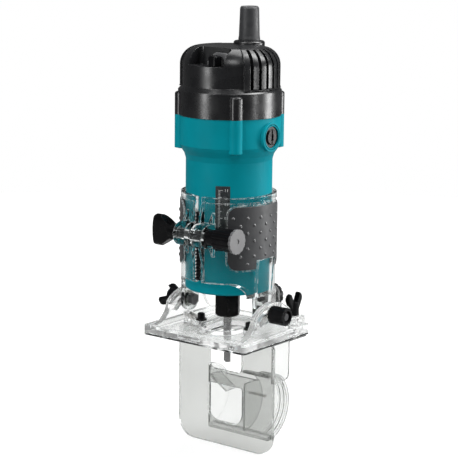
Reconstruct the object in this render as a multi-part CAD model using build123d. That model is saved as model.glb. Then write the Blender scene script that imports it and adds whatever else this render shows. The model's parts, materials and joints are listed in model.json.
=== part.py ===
"""Trim router with a tilting clear base, a clear edge guard under the sole and a chip scoop.

Frame: +Z runs up the spindle, +X to the operator's right, -Y to the front. The origin is where the
spindle axis meets the sole plane. All sizes are in millimetres.
"""
from build123d import *
import os
from math import asin, cos, degrees, pi, radians, sin, sqrt, tan

os.makedirs("parts", exist_ok=True)

# ---- driving dimensions -------------------------------------------------------------------------
BODY_R = 31.5            # motor barrel
BORE_R = 31.6            # sleeve bore round the barrel
SLEEVE_R = 34.5          # sleeve outside
HEAD_R = 37.0            # upper housing
HEAD_RIB_AT = 35.0       # centre circle of the four screw ribs
HEAD_RIB_R = 4.8
DOME_R = 34.3            # rear cover above its band
WALL = 2.5

BARREL_BOTTOM = 36.0     # at rest, above the sole
NECK_TOP = 132.0
SHOULDER_TOP = 143.0
RIB_BOTTOM = 140.0
COVER_Z = 164.0          # joint between housing and rear cover
BAND_TOP = 183.5
DOME_TOP = 213.2
DOME_ROUND = 13.5

SLEEVE_LOW = 34.0
SLEEVE_TOP = 107.8
SLIT_HALF = 2.5
WINDOW_TOP = 45.0

SOLE_STEP_Y = -3.2       # behind this line the sole is relieved for the guard's leaf
BASE_X = 46.8            # half width of the base plate
BASE_Y = 41.0            # half depth
SOLE_T = 1.5             # sole protector
FLOOR_TOP = 4.5
RIM_TOP = 7.5
RIM_W = 3.5
REAR_CHAMFER = 3.5
OPENING_R = 14.0         # bit opening: a slot along Y, so the motor can tilt
OPENING_Y = 7.0

TILT_R = 30.0            # outer arc of the tilt brackets, about the X axis
TILT_SLOT_R = 22.5
TILT_REST = -8.0         # degrees from vertical towards the front
TILT_MAX = 30.0
BRACKET_IN = 37.0
BRACKET_OUT = 42.0
EAR_IN = 31.7
EAR_OUT = 35.3
BOLT_R = 2.5

CLAMP_Y = -40.0          # axis of the clamp shaft and the depth pinion, along X
CLAMP_Z = 80.8
SHAFT_R = 3.5
GEAR_MODULE = 0.8
GEAR_TEETH = 10
PITCH_R = GEAR_MODULE * GEAR_TEETH / 2
BACKLASH = 0.18

GUARD_Y = -2.5           # front face of the guard plate
GUARD_T = 2.5
GUARD_X = 44.3
GUARD_TOP = -2.5
GUARD_LOW = -86.0
NOTCH_X = 15.0
NOTCH_LOW = -28.0
DRUM_R = 24.0
DRUM_Z = -49.5
DRUM_X0, DRUM_X1 = -17.0, 38.0
SHEET = 1.8

BRUSH_Z = 150.4
BIT_TIP = -21.0
GLAND_Y = 22.3           # cord gland axis on the rear cover
COMM_R = 11.5
GRIP_LOW, GRIP_HIGH = 55.6, 101.5
TEMPLATE_Y = -3.0        # template guide screws, ahead of the tilt axis
NUT_LOW, NUT_TOP = 14.6, 35.0
KNOB_X, KNOB_Z = 5.0, 21.5               # rear guard knob
ROD_X, ROD_Y, ROD_Z = 40.5, 27.0, 10.5   # guide rod clamp


# ---- helpers ------------------------------------------------------------------------------------
def box(x0, x1, y0, y1, z0, z1):
    return Pos((x0 + x1) / 2, (y0 + y1) / 2, (z0 + z1) / 2) * Box(x1 - x0, y1 - y0, z1 - z0)


def rod_z(r, z0, z1, x=0.0, y=0.0):
    return Pos(x, y, (z0 + z1) / 2) * Cylinder(r, z1 - z0)


def rod_x(r, x0, x1, y, z):
    return Pos((x0 + x1) / 2, y, z) * Rot(0, 90, 0) * Cylinder(r, x1 - x0)


def rod_y(r, y0, y1, x, z):
    return Pos(x, (y0 + y1) / 2, z) * Rot(90, 0, 0) * Cylinder(r, y1 - y0)


def tube_z(r_out, r_in, z0, z1):
    return rod_z(r_out, z0, z1) - rod_z(r_in, z0 - 1, z1 + 1)


def turned(points):
    """Solid of revolution about Z from (radius, height) points."""
    return revolve(make_face(Plane.XZ * Polyline(*points, close=True)), Axis.Z)


def face_on(plane, lines):
    """Face inside a closed run of lines drawn in the plane's own coordinates."""
    return make_face([edge for line in lines for edge in (plane * line).edges()])


def plate_yz(lines, x0, x1):
    """Plate between two X values, its outline drawn in (Y, Z)."""
    return Pos(x0, 0, 0) * extrude(face_on(Plane.YZ, lines), x1 - x0, dir=(1, 0, 0))


def plate_xz(lines, y0, y1):
    """Plate between two Y values, its outline drawn in (X, Z)."""
    return Pos(0, y0, 0) * extrude(face_on(Plane.XZ, lines), y1 - y0, dir=(0, 1, 0))


def arc_block(r_in, r_out, start, stop, z0, z1):
    """Part of a tube between two angles, in degrees from the front towards the right."""
    turns = [radians(a - 90) for a in (start, (start + stop) / 2, stop)]
    outer = [(r_out * cos(a), r_out * sin(a)) for a in turns]
    inner = [(r_in * cos(a), r_in * sin(a)) for a in reversed(turns)]
    ring = [ThreePointArc(*outer), Line(outer[2], inner[0]), ThreePointArc(*inner), Line(inner[2], outer[0])]
    return Pos(0, 0, z0) * extrude(face_on(Plane.XY, ring), z1 - z0, dir=(0, 0, 1))


def hexagon(across_flats, z0, z1):
    prism = extrude(RegularPolygon(across_flats / 2, 6, major_radius=False), z1 - z0)
    return Pos(0, 0, z0) * prism


def about_z(shape, count, start=0.0):
    return [Rot(0, 0, start + i * 360 / count) * shape for i in range(count)]


def along_x(shape, x, y, z):
    """Places a shape made along +Z so that it runs along +X from (x, y, z)."""
    return Pos(x, y, z) * Rot(0, 90, 0) * shape


def save(name, *shapes):
    solids = [s for shape in shapes for s in shape.solids()]
    export_step(solids[0] if len(solids) == 1 else Compound(children=solids), f"parts/{name}.step")


def on_arc(radius, angle):
    """(Y, Z) of a point on an arc about the X axis, by degrees from vertical towards the rear."""
    return radius * sin(radians(angle)), radius * cos(radians(angle))


BOLT_Y, BOLT_Z = on_arc(TILT_SLOT_R, TILT_REST)


# ---- base ---------------------------------------------------------------------------------------
def sheet_outline(half_x, half_y):
    """Base outline: square front corners with a small radius, chamfered rear corners."""
    face = Rectangle(2 * half_x, 2 * half_y)
    rear = face.vertices().sort_by(Axis.Y)[-2:]
    face = chamfer(rear, REAR_CHAMFER)
    front = face.vertices().sort_by(Axis.Y)[:2]
    return fillet(front, 2.0)


def bit_opening(grow, z0, z1):
    slot = SlotCenterToCenter(2 * OPENING_Y, 2 * (OPENING_R + grow), rotation=90)
    return Pos(0, 0, z0) * extrude(slot, z1 - z0)


def tilt_bracket(x0, x1):
    """Side bracket: a tall arc about the tilt axis, sweeping down to the plate front and rear."""
    end_y = 20.5
    end_z = sqrt(TILT_R**2 - end_y**2)
    foot_y = 38.0
    outline = [
        ThreePointArc((-end_y, end_z), (0, TILT_R), (end_y, end_z)),
        ThreePointArc((end_y, end_z), (end_y + 4.5, 12.6), (foot_y, RIM_TOP)),
        Line((foot_y, RIM_TOP), (foot_y, SOLE_T)),
        Line((foot_y, SOLE_T), (-foot_y, SOLE_T)),
        Line((-foot_y, SOLE_T), (-foot_y, RIM_TOP)),
        ThreePointArc((-foot_y, RIM_TOP), (-end_y - 4.5, 12.6), (-end_y, end_z)),
    ]
    return plate_yz(outline, x0, x1)


def arc_slot(half_width, x0, x1):
    """Slot the tilt bolt runs in, from its rest place to full tilt, with a little over each end."""
    rear, front = TILT_REST + 1.5, TILT_REST - TILT_MAX - 1.5
    middle = (rear + front) / 2
    outer, inner = TILT_SLOT_R + half_width, TILT_SLOT_R - half_width
    centre_out = [on_arc(outer, a) for a in (rear, middle, front)]
    centre_in = [on_arc(inner, a) for a in (front, middle, rear)]
    ring = [
        ThreePointArc(*centre_out),
        Line(centre_out[2], centre_in[0]),
        ThreePointArc(*centre_in),
        Line(centre_in[2], centre_out[0]),
    ]
    slot = plate_yz(ring, x0, x1)
    for a in (rear, front):
        y, z = on_arc(TILT_SLOT_R, a)
        slot += rod_x(half_width, x0, x1, y, z)
    return slot


def base_plate():
    outline = sheet_outline(BASE_X, BASE_Y)
    inner = sheet_outline(BASE_X - RIM_W, BASE_Y - RIM_W)
    plate = Pos(0, 0, SOLE_T) * extrude(outline, RIM_TOP - SOLE_T)
    plate -= Pos(0, 0, FLOOR_TOP) * extrude(inner, RIM_TOP)
    plate += bit_opening(3.0, SOLE_T, RIM_TOP)
    for x in (-22.5, 22.5):
        plate += rod_z(4.6, SOLE_T, RIM_TOP, x, TEMPLATE_Y)
    for x in (-31, 31):
        for y in (-33, 33):
            plate += rod_z(3.6, SOLE_T, RIM_TOP - 1, x, y)
    for side in (-1, 1):
        low, high = sorted((side * BRACKET_IN, side * BRACKET_OUT))
        plate += tilt_bracket(low, high)
        plate -= arc_slot(BOLT_R + 0.3, low - 1, high + 1)
    plate += box(35.5, BASE_X - 0.2, ROD_Y - 6, ROD_Y + 6, SOLE_T, 15.5)
    boss = box(KNOB_X - 9, KNOB_X + 9, 34.9, BASE_Y, SOLE_T, 31)
    plate += fillet(boss.edges().filter_by(Axis.Y).group_by(Axis.Z)[-1], 3)
    plate += box(-37.2, -32.6, -6, 0, SOLE_T, 12.0)
    plate -= bit_opening(0, 0, RIM_TOP + 1)
    for x in (-22.5, 22.5):
        plate -= rod_z(2.05, 0, RIM_TOP + 1, x, TEMPLATE_Y)
    for x in (-31, 31):
        for y in (-33, 33):
            plate -= rod_z(1.55, 0, RIM_TOP - 1.8, x, y)
    plate -= rod_x(3.1, 30, 48, ROD_Y, ROD_Z)
    plate -= rod_z(2.55, ROD_Z, 17, ROD_X, ROD_Y)
    plate -= rod_y(2.5, 30, 43, KNOB_X, KNOB_Z)
    plate -= rod_x(1.6, -38, -30, -3, 9.2)
    plate -= box(-14, 6, -BASE_Y - 1, -BASE_Y + 0.8, 3.2, 5.6)
    plate -= box(BASE_X - 0.8, BASE_X + 1, 12, 27, 3.0, 5.8)
    save("base_plate", plate)


def sole_protector():
    sheet = extrude(sheet_outline(BASE_X, BASE_Y), SOLE_T - 0.04) - bit_opening(0, -1, SOLE_T + 1)
    for x in (-31, 31):
        for y in (-33, 33):
            sheet -= rod_z(1.7, -1, SOLE_T + 1, x, y)
            sheet -= Pos(x, y, 0.45) * Cone(3.1, 1.7, 1.4)
            sheet -= rod_z(3.1, -1, -0.2, x, y)
    sheet -= box(-60, 60, SOLE_STEP_Y, 60, -1, 0.12)
    save("sole_protector", sheet)


def sole_screws():
    screws = []
    for x in (-31, 31):
        for y in (-33, 33):
            head = Pos(x, y, 0.62) * Cone(2.5, 1.45, 1.0)
            screw = head + rod_z(1.45, 1.1, 5.4, x, y)
            screws.append(screw - box(x - 2, x + 2, y - 0.35, y + 0.35, 0, 0.6))
    save("sole_screws", *screws)


def template_screws():
    """Two black flange-head screws beside the opening, which hold a template guide."""
    screws = []
    for x in (-22.5, 22.5):
        flange = rod_z(4.1, RIM_TOP + 0.02, RIM_TOP + 1.3, x, TEMPLATE_Y)
        dome = fillet(rod_z(2.9, RIM_TOP + 1.3, RIM_TOP + 5.6, x, TEMPLATE_Y).edges().sort_by(Axis.Z)[-1:], 1.4)
        shank = rod_z(1.95, SOLE_T + 0.4, RIM_TOP + 0.1, x, TEMPLATE_Y)
        cross = box(x - 1.6, x + 1.6, TEMPLATE_Y - 0.35, TEMPLATE_Y + 0.35, RIM_TOP + 4.4, RIM_TOP + 6)
        cross += box(x - 0.35, x + 0.35, TEMPLATE_Y - 1.6, TEMPLATE_Y + 1.6, RIM_TOP + 4.4, RIM_TOP + 6)
        screws.append(flange + dome + shank - cross)
    save("template_screws", *screws)


def tilt_stop():
    """Steel set screw and lock nut that stop the sleeve upright, in the left foot block."""
    screw = rod_x(1.55, -37.9, -27.6, -3, 9.2)
    nut = along_x(hexagon(5.0, 0, 2.4), -32.55, -3, 9.2) - rod_x(1.58, -33, -29, -3, 9.2)
    save("tilt_stop_screw", screw, nut)


def wing_screw_prongs(hub_r, hub_h, reach, height, thick):
    """Wing-nut body along +Z: a hub with two rounded ears that flare outwards."""
    hub = rod_z(hub_r, 0, hub_h)
    start, root = (hub_r * 0.3, hub_h * 0.25), (hub_r, hub_h * 0.25)
    low, crown = (reach, height * 0.62), (reach - 2.6, height)
    ear = plate_xz(
        [
            Polyline(crown, (hub_r * 0.62, hub_h), start, root, low),
            ThreePointArc(low, (reach - 0.7, height * 0.93), crown),
        ],
        -thick / 2,
        thick / 2,
    )
    ear = fillet(ear.edges().filter_by(GeomType.CIRCLE), thick * 0.3)
    return hub + ear + Rot(0, 0, 180) * ear


def rod_clamp_wing():
    """Vertical wing screw over the guide rod bore."""
    body = wing_screw_prongs(4.0, 10.0, 8.0, 16.5, 4.2)
    screw = rod_z(2.45, -1.6, 4)
    save("rod_clamp_wing", Pos(ROD_X, ROD_Y, 15.8) * Rot(0, 0, 90) * (body + screw))


# ---- tilt locks ---------------------------------------------------------------------------------
def tilt_bolts():
    washers, shims = [], []
    for name, side in (("left", -1), ("right", 1)):
        reach = 55.9 if side > 0 else 50.5
        shank = rod_z(BOLT_R, 0, reach - EAR_IN)
        head = hexagon(8.0, -3.4, 0)
        bolt = Pos(side * EAR_IN, BOLT_Y, BOLT_Z) * Rot(0, side * 90, 0) * (shank + head)
        save(f"tilt_bolt_{name}", bolt)
        low, high = sorted((side * (BRACKET_OUT + 0.15), side * (BRACKET_OUT + 1.25)))
        hole = rod_x(BOLT_R + 0.05, -60, 60, BOLT_Y, BOLT_Z)
        washers.append(rod_x(5.2, low, high, BOLT_Y, BOLT_Z) - hole)
        low, high = sorted((side * (EAR_OUT + 0.02), side * (BRACKET_IN - 0.1)))
        shims.append(rod_x(6.0, low, high, BOLT_Y, BOLT_Z) - hole)
    save("tilt_washers", *washers)
    save("tilt_shims", *shims)


def tilt_knob_right():
    knob = rod_z(6.6, 0, 13.2)
    for groove in about_z(rod_z(0.85, -1, 16.5, 6.85, 0), 16):
        knob -= groove
    knob = chamfer(knob.edges().filter_by(GeomType.CIRCLE).group_by(Axis.Z)[-1], 0.4)
    knob -= rod_z(4.6, 11.6, 16)
    knob -= rod_z(BOLT_R + 0.05, -1, 16)
    save("tilt_knob_right", along_x(knob, BRACKET_OUT + 1.4, BOLT_Y, BOLT_Z))


def tilt_wing_left():
    wing = wing_screw_prongs(5.2, 8.5, 9.4, 15.0, 5.0) - rod_z(BOLT_R + 0.05, -1, 16)
    place = Pos(-BRACKET_OUT - 1.4, BOLT_Y, BOLT_Z) * Rot(0, -90, 0) * Rot(0, 0, 55)
    save("tilt_wing_left", place * wing)


# ---- sleeve -------------------------------------------------------------------------------------
def pad_shape(r_in, r_out, start, stop, grow):
    """Curved sheet with rounded corners where a grip pad lies, grown all round by a distance."""
    turn = degrees(grow / SLEEVE_R)
    pad = arc_block(r_in, r_out, start - turn, stop + turn, GRIP_LOW - grow, GRIP_HIGH + grow)
    corners = [e for e in pad.edges() if e.geom_type == GeomType.LINE and e.length < 3]
    pad = fillet(corners, 7 + grow)
    pad -= rod_x(11.6 - grow, -70, 70, CLAMP_Y, CLAMP_Z)
    for side in (-1, 1):
        low, high = sorted((side * 31, side * 40))
        pad -= box(low, high, -10.7 + grow, 9.8 - grow, 20, 62.3 - grow)
    return pad


def sleeve():
    body = tube_z(SLEEVE_R, BORE_R, SLEEVE_LOW, SLEEVE_TOP)
    lip_r = SLEEVE_R + 0.5
    body += turned([(32, 103.6), (lip_r - 0.5, 103.6), (lip_r, 104.1), (lip_r, SLEEVE_TOP), (32, SLEEVE_TOP)])
    for side in (-1, 1):
        low, high = sorted((side * EAR_IN, side * EAR_OUT))
        tongue = [
            Line((-9.5, 62), (9.5, 62)),
            Line((9.5, 62), (BOLT_Y + 8.5, BOLT_Z + 6)),
            Line((BOLT_Y + 8.5, BOLT_Z + 6), (BOLT_Y + 8.5, BOLT_Z)),
            ThreePointArc((BOLT_Y + 8.5, BOLT_Z), (BOLT_Y, BOLT_Z - 8.5), (BOLT_Y - 8.5, BOLT_Z)),
            Line((BOLT_Y - 8.5, BOLT_Z), (BOLT_Y - 8.5, BOLT_Z + 8)),
            Line((BOLT_Y - 8.5, BOLT_Z + 8), (-9.5, 62)),
        ]
        body += plate_yz(tongue, low, high) - rod_x(BOLT_R + 0.1, -45, 45, BOLT_Y, BOLT_Z)
        low, high = sorted((side * SLIT_HALF, side * 12.8))
        body += rod_x(8.5, low, high, CLAMP_Y, CLAMP_Z)
        body += box(low, high, CLAMP_Y, -BORE_R, CLAMP_Z - 8.5, CLAMP_Z + 8.5)
        low, high = sorted((side * SLIT_HALF, side * 4.6))
        flange = Polyline(
            (-32, 103), (-35.2, 103), (-38.2, 92), (-38.2, 70), (-35.2, 60), (-35.2, 47), (-32, 47), close=True
        )
        body += plate_yz([flange], low, high)
        low, high = sorted((side * 10.8, side * 12.4))
        gusset = Polyline((-30.5, 97), (-33.2, 97), (-39, 87), (-39, 75), (-33.5, 65), (-30.5, 65), close=True)
        body += plate_yz([gusset], low, high)
    for start, stop in ((37, 126), (-126, -30)):
        body += pad_shape(SLEEVE_R - 0.5, SLEEVE_R + 0.9, start, stop, 1.1)
        body -= pad_shape(SLEEVE_R, SLEEVE_R + 2, start, stop, 0.05)
    body -= rod_z(BORE_R, 0, 130)
    body -= box(-SLIT_HALF, SLIT_HALF, -60, 0, 40, 120)
    window = box(-30, 30, -60, -6, 10, WINDOW_TOP)
    body -= fillet(window.edges().filter_by(Axis.Y).group_by(Axis.Z)[-1], 10)
    body -= rod_x(SHAFT_R + 0.1, -20, 20, CLAMP_Y, CLAMP_Z)
    save("base_sleeve", body)


def grip(name, start, stop):
    """Rubber grip pad: a curved sheet over the sleeve between two angles from the front, in degrees."""
    save(name, pad_shape(SLEEVE_R + 0.03, SLEEVE_R + 1.15, start, stop, 0))


# ---- clamp shaft and depth drive ----------------------------------------------------------------
def involute_point(base_r, roll):
    return base_r * (cos(roll) + roll * sin(roll)), base_r * (sin(roll) - roll * cos(roll))


def pinion():
    """Involute pinion along +X, centred on the clamp shaft, with a tooth gap facing the rack."""
    pressure = radians(20)
    base_r = PITCH_R * cos(pressure)
    outer_r, root_r = PITCH_R + 0.6, PITCH_R - 0.95
    half_tooth = (pi * GEAR_MODULE / 2 - BACKLASH) / PITCH_R / 2
    pitch_roll = tan(pressure)
    spread = half_tooth + pitch_roll - pressure
    tip_roll = sqrt((outer_r / base_r) ** 2 - 1)
    flank = []
    for i in range(5):
        x, y = involute_point(base_r, tip_roll * i / 4)
        flank.append((x * cos(-spread) - y * sin(-spread), x * sin(-spread) + y * cos(-spread)))
    root = (root_r * cos(spread), -root_r * sin(spread))
    lower = [root] + flank
    upper = [(x, -y) for x, y in reversed(lower)]
    tooth = extrude(make_face(Polyline(*lower, *upper, close=True)), 4.2)
    gear = Pos(0, 0, 2.1) * Cylinder(root_r + 0.05, 4.2)
    for one in about_z(tooth, GEAR_TEETH, 180 / GEAR_TEETH):
        gear += one
    turn = Rot(0, 90, 0) * Rot(0, 0, 90)
    return Pos(-2.1, CLAMP_Y, CLAMP_Z) * turn * gear


def depth_shaft():
    shaft = rod_x(SHAFT_R, 2.1, 20, CLAMP_Y, CLAMP_Z) + rod_x(SHAFT_R, -31, -2.1, CLAMP_Y, CLAMP_Z)
    save("depth_pinion_shaft", shaft + pinion() + rod_x(2.6, -3, 3, CLAMP_Y, CLAMP_Z))


def depth_knob():
    hub = rod_z(6.1, 0, 7.4) + Pos(0, 0, 7.9) * Cone(6.1, 7.6, 1.2)
    grip_part = rod_z(8.2, 8.4, 24.2)
    for groove in about_z(rod_z(1.2, 7.8, 25, 8.9, 0), 14):
        grip_part -= groove
    knob = hub + grip_part - rod_z(SHAFT_R + 0.02, -1, 6.9)
    save("depth_knob", along_x(knob, 13.2, CLAMP_Y, CLAMP_Z))
    cap = rod_z(9.0, 0, 1.8)
    for groove in about_z(rod_z(1.2, -1, 3, 9.7, 0), 14):
        cap -= groove
    cap -= rod_z(1.8, 1.2, 3)
    save("depth_knob_cap", along_x(cap, 37.42, CLAMP_Y, CLAMP_Z))


def clamp_wing():
    """Fan-shaped wing nut on the left end of the clamp shaft."""
    tall, crown = 10.9, -34.6
    fan = plate_xz(
        [
            Polyline((-16.5, -4.6), (-19.5, -4.7), (-28.5, -tall)),
            ThreePointArc((-28.5, -tall), (-33.8, -tall - 0.8), (crown, -tall + 2.6)),
            ThreePointArc((crown, -tall + 2.6), (crown - 0.7, 0), (crown, tall - 2.6)),
            ThreePointArc((crown, tall - 2.6), (-33.8, tall + 0.8), (-28.5, tall)),
            Polyline((-28.5, tall), (-19.5, 4.7), (-16.5, 4.6), (-16.5, -4.6)),
        ],
        -4.4,
        4.4,
    )
    fan = fan & (Pos(-38, 0, 0) * extrude(Plane.YZ * RectangleRounded(8.8, 22.9, 4.3), 22, dir=(1, 0, 0)))
    fan += rod_x(5.2, -21, -14.7, 0, 0)
    fan -= rod_x(SHAFT_R + 0.05, -31.4, -13.5, 0, 0)
    save("clamp_wing", Pos(0, CLAMP_Y, CLAMP_Z) * fan)
    washer = rod_x(6.2, -14.6, -13.0, CLAMP_Y, CLAMP_Z) - rod_x(SHAFT_R + 0.1, -16, -12, CLAMP_Y, CLAMP_Z)
    save("clamp_washer", washer)


def depth_rack():
    """Straight rack on the barrel, standing in the sleeve's slit, in mesh with the pinion."""
    pitch = pi * GEAR_MODULE
    pitch_y = CLAMP_Y + PITCH_R
    tip_y, root_y = pitch_y - 0.45, pitch_y + 0.9
    slope = tan(radians(20))
    half = (pitch / 2 - BACKLASH) / 2
    low, high = CLAMP_Z - 34, CLAMP_Z + 16
    rack = box(-1.8, 1.8, root_y, -BODY_R - 0.02, low, high)
    count_down, count_up = 13, 6
    for i in range(-count_down, count_up + 1):
        z = CLAMP_Z + i * pitch
        tooth = Polyline(
            (root_y + 0.2, z - half - 1.1 * slope),
            (tip_y, z - half + 0.45 * slope),
            (tip_y, z + half - 0.45 * slope),
            (root_y + 0.2, z + half + 1.1 * slope),
            close=True,
        )
        rack += plate_yz([tooth], -1.8, 1.8)
    rack -= rod_z(BODY_R + 0.02, 0, 150)
    save("depth_rack", rack)


# ---- motor housing ------------------------------------------------------------------------------
def motor_housing():
    outer = [
        (0, BARREL_BOTTOM), (BODY_R - 1.2, BARREL_BOTTOM), (BODY_R, BARREL_BOTTOM + 1.2), (BODY_R, NECK_TOP),
        (BODY_R + 1.2, NECK_TOP + 4.2), (HEAD_R - 1.4, SHOULDER_TOP - 2.6), (HEAD_R, SHOULDER_TOP),
        (HEAD_R, COVER_Z), (0, COVER_Z),
    ]
    body = turned(outer)
    for rib in about_z(rod_z(HEAD_RIB_R, RIB_BOTTOM, COVER_Z, HEAD_RIB_AT, 0), 4, 45):
        body += rib
    for side in (-1, 1):
        low, high = sorted((side * 28, side * 38.4))
        body += rod_x(10.3, low, high, 0, BRUSH_Z)
    inside = [
        (0, BARREL_BOTTOM + 4), (29, BARREL_BOTTOM + 4), (29, NECK_TOP + 1), (HEAD_R - WALL, SHOULDER_TOP + 2),
        (HEAD_R - WALL, COVER_Z + 1), (0, COVER_Z + 1),
    ]
    body -= turned(inside)
    for rib in about_z(rod_z(HEAD_RIB_R - 0.6, RIB_BOTTOM + 0.2, COVER_Z, HEAD_RIB_AT, 0), 4, 45):
        body += rib
    body += tube_z(18.5, 16.02, BARREL_BOTTOM + 4, 54)
    body += tube_z(29.2, 19, 54, 56)
    body -= rod_z(10.8, 30, BARREL_BOTTOM + 5)
    for side in (-1, 1):
        body += rod_x(8.4, *sorted((side * 21, side * 35.6)), 0, BRUSH_Z)
        body -= rod_x(5.7, *sorted((side * 20, side * 45)), 0, BRUSH_Z)
        body -= rod_x(7.9, *sorted((side * 35.2, side * 45)), 0, BRUSH_Z)
        groove = rod_x(9.2, *sorted((side * 37.6, side * 45)), 0, BRUSH_Z)
        body -= groove - rod_x(8.6, -46, 46, 0, BRUSH_Z)
    body -= arc_block(BODY_R - 0.55, BODY_R + 1, 20.2, 39.6, 69, 116)
    for hole in about_z(rod_z(2.0, RIB_BOTTOM - 1, COVER_Z + 1, HEAD_RIB_AT, 0), 4, 45):
        body -= hole
    for well in about_z(rod_z(3.4, RIB_BOTTOM - 1, RIB_BOTTOM + 1.6, HEAD_RIB_AT, 0), 4, 45):
        body -= well
    for slot in about_z(box(20.5, 27.5, -1.6, 1.6, 30, BARREL_BOTTOM + 6), 10, 18):
        body -= slot
    save("motor_housing", body)


def housing_screws():
    screws = []
    for place in about_z(Pos(HEAD_RIB_AT, 0, 0), 4, 45):
        head = fillet(rod_z(3.2, RIB_BOTTOM - 0.6, RIB_BOTTOM + 1.55).edges().sort_by(Axis.Z)[:1], 0.9)
        shank = rod_z(1.9, RIB_BOTTOM + 1.5, COVER_Z + 10)
        socket = box(-1.9, 1.9, -0.4, 0.4, RIB_BOTTOM - 1, RIB_BOTTOM + 0.4)
        screws.append(place * (head + shank - socket - Rot(0, 0, 90) * socket))
    save("housing_screws", *screws)


def scale_plate():
    """Curved depth scale strip let into the barrel, front right."""
    save("scale_plate", arc_block(BODY_R - 0.5, BODY_R + 0.04, 20.3, 39.5, 69.1, 115.9))


# ---- rear cover ---------------------------------------------------------------------------------
def dome(grow):
    """Closed solid of the rear cover's outside, grown or shrunk by a distance."""
    r, top = DOME_R + grow, DOME_TOP + min(grow, 0)
    round_r = DOME_ROUND + min(grow, 0)
    profile = [
        Line((0, COVER_Z), (HEAD_R + 0.4 + min(grow, 0), COVER_Z)),
        Line((HEAD_R + 0.4 + min(grow, 0), COVER_Z), (HEAD_R + 0.4 + min(grow, 0), BAND_TOP - 1.5)),
        Line((HEAD_R + 0.4 + min(grow, 0), BAND_TOP - 1.5), (r, BAND_TOP + 1.8)),
        Line((r, BAND_TOP + 1.8), (r, top - round_r)),
        CenterArc((r - round_r, top - round_r), round_r, 0, 90),
        Line((r - round_r, top), (0, top)),
        Line((0, top), (0, COVER_Z)),
    ]
    return revolve(face_on(Plane.XZ, profile), Axis.Z)


def rear_cover():
    body = dome(0)
    bulge = dome(1.9)
    for side in (-1, 1):
        body += bulge & arc_block(15, 60, side * 90 - 36, side * 90 + 36, BAND_TOP + 0.5, 230)
    for rib in about_z(rod_z(HEAD_RIB_R, COVER_Z, 180.5, HEAD_RIB_AT, 0), 4, 45):
        body += fillet(rib.edges().sort_by(Axis.Z)[-1:], 1.8)
    body += fillet(rod_z(11.4, 200, DOME_TOP + 2.2, 0, GLAND_Y).edges().sort_by(Axis.Z)[-1:], 1.6)
    hollow = dome(-WALL) & box(-60, 60, -60, 60, COVER_Z - 1, DOME_TOP - WALL)
    body -= hollow
    for rib in about_z(rod_z(HEAD_RIB_R - 0.6, COVER_Z, 178, HEAD_RIB_AT, 0), 4, 45):
        body += rib
    liner = box(-14, 19, -36, -17.2, 198.6, DOME_TOP + 5) & dome(0)
    body += liner
    body += rod_z(13, 161.5, 172) - rod_z(9.52, 160, 168.4)
    body += box(-2, 2, -36, -12.8, 166, 172) + box(-2, 2, 12.8, 36, 166, 172)
    body -= rod_z(4, 160, 175)
    pocket = fillet(box(-12, 17, -40, -19, 200.6, DOME_TOP + 5).edges().filter_by(Axis.Z), 3)
    body -= pocket
    for side in (0, 180):
        for k in range(6):
            angle = side + (k - 2.5) * 10.8
            slot = box(27.0, 45, -1.25, 1.25, BAND_TOP + 1.0, DOME_TOP + 4)
            body -= Rot(0, 0, angle) * slot
    body += rod_z(9.5, 206.8, DOME_TOP, 0, GLAND_Y) & dome(0)
    body += box(-14, 14, 27.2, 40, 188, 197) & dome(0)
    for x in (-10, 10):
        body -= rod_y(1.2, 26, 31, x, 192.5)
    body -= rod_z(4.1, 187, 198, 0, GLAND_Y)
    body -= rod_z(6.6, 198, DOME_TOP + 6, 0, GLAND_Y)
    for hole in about_z(rod_z(1.95, COVER_Z - 1, COVER_Z + 11, HEAD_RIB_AT, 0), 4, 45):
        body -= hole
    save("rear_cover", body)


def cord_guard():
    """Flexible gland sleeve, tapering upwards, open along its bore for a cord."""
    profile = [
        (4, 205), (7.0, 205), (7.0, 206.1), (6.55, 206.1), (6.55, 215.45), (7.9, 215.45), (7.95, 216.8),
        (7.6, 218.8), (6.95, 238.6), (6.5, 239.7), (5.9, 240.2), (5.3, 239.2), (4, 232),
    ]
    save("cord_guard", Pos(0, GLAND_Y, 0) * turned(profile))


def cord_clamp():
    """Saddle bar and two screws that would hold the cord below the gland."""
    bar = fillet(box(-14, 14, 21.5, 27.1, 189, 196).edges().filter_by(Axis.Y), 1.5)
    bar -= rod_z(4.1, 187, 198, 0, GLAND_Y)
    screws = []
    for x in (-10, 10):
        bar -= rod_y(1.45, 20, 28, x, 192.5)
        head = rod_y(2.4, 19.6, 21.45, x, 192.5) - box(x - 2, x + 2, 19, 20.2, 192.2, 192.8)
        screws.append(head + rod_y(1.15, 21, 30.5, x, 192.5))
    save("cord_clamp", bar)
    save("cord_clamp_screws", *screws)


def switch():
    """Slide switch: body under the recess floor, frame in the recess and the lever that slides in X."""
    body = fillet(box(-9, 13.5, -28.4, -18.5, 184, 198.5).edges().filter_by(Axis.Z), 1.0)
    for x in (-6, 4, 12):
        body += box(x - 0.4, x + 0.4, -26.0, -21.4, 177, 184.5)
    save("switch_body", body)
    frame = box(1.5, 14.6, -22.3, -19.4, 200.65, 209.8) + box(-3, 14.6, -22.3, -19.4, 200.65, 203.2)
    frame = fillet(frame.edges().filter_by(Axis.Y).group_by(Axis.Z)[-1], 3.0)
    frame -= fillet(box(4.4, 11.6, -23, -20.9, 199, 207.2).edges().filter_by(Axis.Y).group_by(Axis.Z)[-1], 3)
    save("switch_frame", frame)
    lever = fillet(box(3.2, 10.4, -30.2, -22.6, 200.7, 208.2).edges().filter_by(Axis.Z), 1.6)
    lever = fillet(lever.edges().group_by(Axis.Z)[-1], 1.5)
    for i in range(4):
        lever -= rod_y(0.45, -31, -22, 3.9 + i * 2, 208.3)
    save("switch_lever", lever)


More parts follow.
